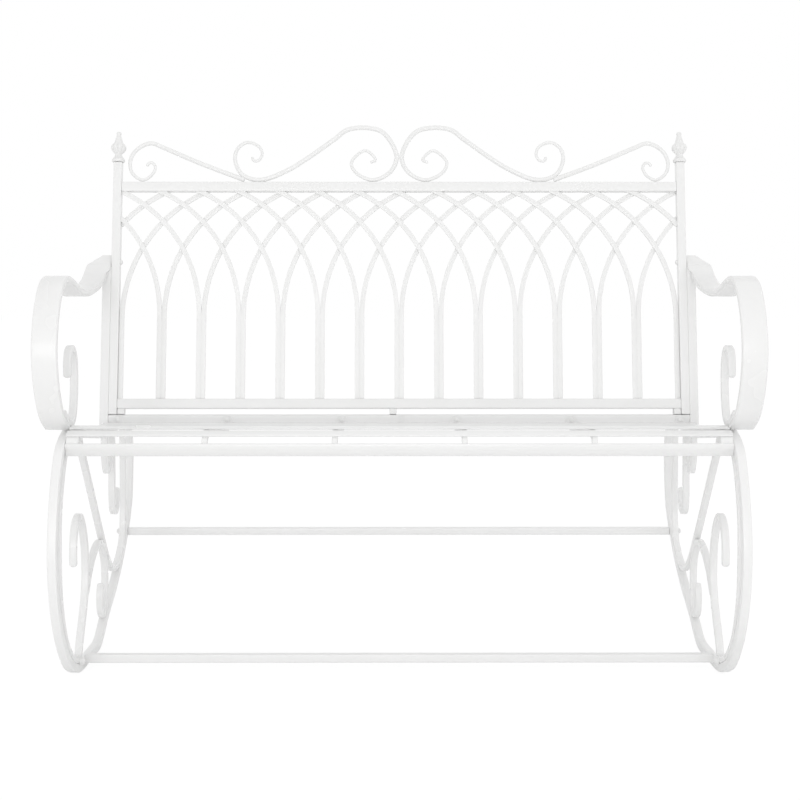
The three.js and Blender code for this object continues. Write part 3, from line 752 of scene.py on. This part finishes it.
# The crest: round bar rolled into scrolls, four pieces that touch and are tacked to the top
# rail. Each is drawn down thinner towards its curled tips.
crest_rise = 0.1094
rod_radius = 0.00475
rod_edge = 0.001
tip_thinning = 0.38
crest_rest = top_rail_top + weld_gap + rod_radius
outer_crest_shares = [
    (-0.5584, 0), (-0.718, 0.315), (-0.853, 0.615), (-0.897, 0.7), (-0.936, 0.63),
    (-0.964, 0.48), (-0.973, 0.3), (-0.964, 0.13), (-0.928, 0), (-0.897, 0.075),
    (-0.881, 0.23), (-0.89, 0.32), (-0.904, 0.32), (-0.912, 0.265)]
inner_crest_shares = [
    (-0.53, 0.436), (-0.53, 0.4), (-0.521, 0.359), (-0.508, 0.375), (-0.499, 0.43),
    (-0.496, 0.51), (-0.506, 0.63), (-0.547, 0.718), (-0.582, 0.615), (-0.594, 0.4),
    (-0.568, 0.11), (-0.506, 0), (-0.403, 0.185), (-0.235, 0.775),
    (-0.191, 0.95), (-0.129, 1), (-0.059, 0.91), (-0.0093, 0.45), (-0.033, 0.15),
    (-0.096, 0), (-0.158, 0.15), (-0.172, 0.34), (-0.122, 0.56), (-0.085, 0.38), (-0.104, 0.335)]
rod_coat = powder_coat("powder_coat_on_round_bar", "#F0F0F0", 0.25, 7.3)


def round_bar(radius, count=20):
    """A closed section: radius times (cos a, sin a)."""
    angle = np.arange(count) * 2 * math.pi / count
    return radius * np.column_stack([np.cos(angle), np.sin(angle)])


def crest_rod(shares, taper_start, taper_end):
    """A round bar along a crest line. Its size is 1 in the middle and falls to 0.62 at a
    tapered end, by a cosine step over that share of its length."""
    points = [(across * half_back, crest_rest + up * crest_rise) for across, up in shares]
    line = smooth_line(points, 0.0025)
    along = np.linspace(0, 1, len(line))
    size = np.ones(len(line))
    for taper, from_end in ((taper_start, along), (taper_end, 1 - along)):
        if taper:
            size -= tip_thinning * (0.5 + 0.5 * np.cos(math.pi * np.clip(from_end / taper, 0, 1)))
    return in_back_plane(carried(line, round_bar(rod_radius), rod_edge, size))


for place, rod in (("outer", crest_rod(outer_crest_shares, 0, 0.65)),
                   ("inner", crest_rod(inner_crest_shares, 0.3, 0.35))):
    for side, side_rod in (("left", rod), ("right", mirrored(rod))):
        scroll = f"crest_scroll_{place}_{side}"
        add_piece(f"{scroll}_rod", side_rod, rod_coat, scroll)


# The finials: small castings on top of the posts: a collar, a neck, a bulb with eight
# petals, a fluted cone and a ball.
finial_profile = np.array([
    (0.0118, 0), (0.0131, 0.0012), (0.0135, 0.0032), (0.0132, 0.0050), (0.0120, 0.0068),
    (0.0101, 0.0090), (0.0084, 0.0114), (0.0073, 0.0138), (0.0070, 0.0158), (0.0072, 0.0172),
    (0.0092, 0.0190), (0.0124, 0.0222), (0.0148, 0.0258), (0.0159, 0.0298), (0.0154, 0.0330),
    (0.0135, 0.0362), (0.0108, 0.0388), (0.0093, 0.0402), (0.0089, 0.0414), (0.0080, 0.0444),
    (0.0066, 0.0494), (0.0050, 0.0544), (0.0044, 0.0562), (0.0048, 0.0574), (0.0053, 0.0588),
    (0.0052, 0.0604), (0.0044, 0.0622), (0.0028, 0.0633), (0.0009, 0.0638)])
petal_depth = 0.0021
flute_share = 0.35
bulb_middle, bulb_half = 0.0295, 0.0085
cone_middle, cone_half = 0.0480, 0.0060
finial_coat = powder_coat("powder_coat_on_casting", "#EDEDED", 0.32, 8.6)


def finial_shape():
    """A turned profile r(h) with petals: r is drawn in by 2.1 mm times (1 - |sin 4a| ^ 0.6),
    so eight ridges stand between eight grooves, over the bulb alone, and by a third of that
    over the cone. Each band is exp(-((h - middle) / half) ^ 4)."""
    turn = np.linspace(0, 2 * math.pi, 96, endpoint=False)
    travelled = travelled_along(finial_profile)
    stations = np.linspace(0, travelled[-1], 90)
    radius, height = (np.interp(stations, travelled, finial_profile[:, k]) for k in range(2))
    on_bulb = np.exp(-((height - bulb_middle) / bulb_half) ** 4)
    on_cone = flute_share * np.exp(-((height - cone_middle) / cone_half) ** 4)
    groove = 1 - np.abs(np.sin(4 * turn)) ** 0.6
    out = radius[:, None] - petal_depth * (on_bulb + on_cone)[:, None] * groove[None, :]
    x, depth = out * np.cos(turn), out * np.sin(turn)
    return skinned(np.stack([x, depth, np.broadcast_to(height[:, None], x.shape)], axis=-1))


finial_points, finial_faces = finial_shape()
on_post = finial_points + np.array([post_middle, tube / 2, post_top + weld_gap])
add_pair("finial", (up_the_back(on_post), finial_faces), finial_coat)


# The fasteners: small steel parts under the same white coat. Domed bolt heads stand on the
# rockers where the stretchers end, pressed tabs with bolt heads on the seat's rear rail, and
# a domed nut on each back post.
bolt_coat = powder_coat("powder_coat_on_bolt_heads", "#EBEBEB", 0.3, 9.9)
bolt_shares = [(-0.247, 0.053), (0.413, 0.401)]
bolt_radius, bolt_height = 0.008, 0.0094
head_radius, head_height = 0.0058, 0.0032
nut_radius, nut_height = 0.006, 0.005
nut_rise = 0.313
tab_thick = 0.0025
tab_tall = 0.014
tab_rise = 0.0008
head_rise = 0.0075
rail_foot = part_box("seat_rear_rail")[0][2]


def dome(radius, height, place, direction):
    """A bolt head: a washer rim, and over it r = R cos a, h = H sin a, turned about the axis
    along direction."""
    angle = np.linspace(0, math.pi / 2, 10)[:-1]
    rim = np.array([(1, 0), (1, 0.18), (0.93, 0.26), (0.86, 0.26)])
    cap = np.column_stack([0.84 * np.cos(angle), 0.26 + 0.74 * np.sin(angle)])
    out, up = (np.vstack([rim, cap]) * (radius, height)).T
    turn = np.linspace(0, 2 * math.pi, 32, endpoint=False)
    axis = np.array(direction, float) / np.linalg.norm(direction)
    first = np.cross(axis, (0.0, 0.0, 1.0) if abs(axis[2]) < 0.9 else (1.0, 0.0, 0.0))
    first /= np.linalg.norm(first)
    around = np.outer(np.cos(turn), first) + np.outer(np.sin(turn), np.cross(axis, first))
    return skinned(np.array(place) + out[:, None, None] * around + up[:, None, None] * axis)


def tab_shape(place, base, top, tall, foot):
    """A pressed steel tab on the rear rail's front face: a trapezoid, base wide at its foot
    and top wide above, as a closed solid."""
    outline = [(-base / 2, 0), (base / 2, 0), (top / 2, tall), (-top / 2, tall)]
    points = [(place + u, back_front - out, foot + v) for out in (tab_thick, 0) for u, v in outline]
    faces = [[0, 1, 2, 3], [7, 6, 5, 4], [0, 4, 5, 1], [1, 5, 6, 2], [2, 6, 7, 3], [3, 7, 4, 0]]
    return np.array(points), faces


def bolted_tab(place, base, top):
    head_place = (place, back_front - tab_thick, rail_foot + head_rise)
    return [tab_shape(place, base, top, tab_tall, rail_foot + tab_rise),
            dome(head_radius, head_height, head_place, (0, -1, 0))]


front_place, rear_place = side_points(bolt_shares)
front_bolt = dome(bolt_radius, bolt_height, (side_inner, *front_place), (-1, 0, 0))
add_pair("bolt_front", front_bolt, bolt_coat, is_node=False)
rear_bolt = dome(bolt_radius, bolt_height, (side_inner + side_tube, *rear_place), (1, 0, 0))
add_pair("bolt_rear", rear_bolt, bolt_coat, is_node=False)

small_fixings = []
for rib_place in rib_places:
    small_fixings += bolted_tab(rib_place, 0.031, 0.015)
for side in (-1, 1):
    small_fixings += bolted_tab(side * (arm_post_middle - 0.029), 0.024, 0.013)
    nut_place = up_the_back(np.array([[side * half_back, tube / 2, nut_rise]]))[0]
    small_fixings.append(dome(nut_radius, nut_height, nut_place, (-side, 0, 0)))
small_fixings.append(tab_shape(0.0048, 0.0125, 0.0125, 0.012, rail_foot + 0.0038))
add_piece("small_fixings", joined(*small_fixings), bolt_coat)
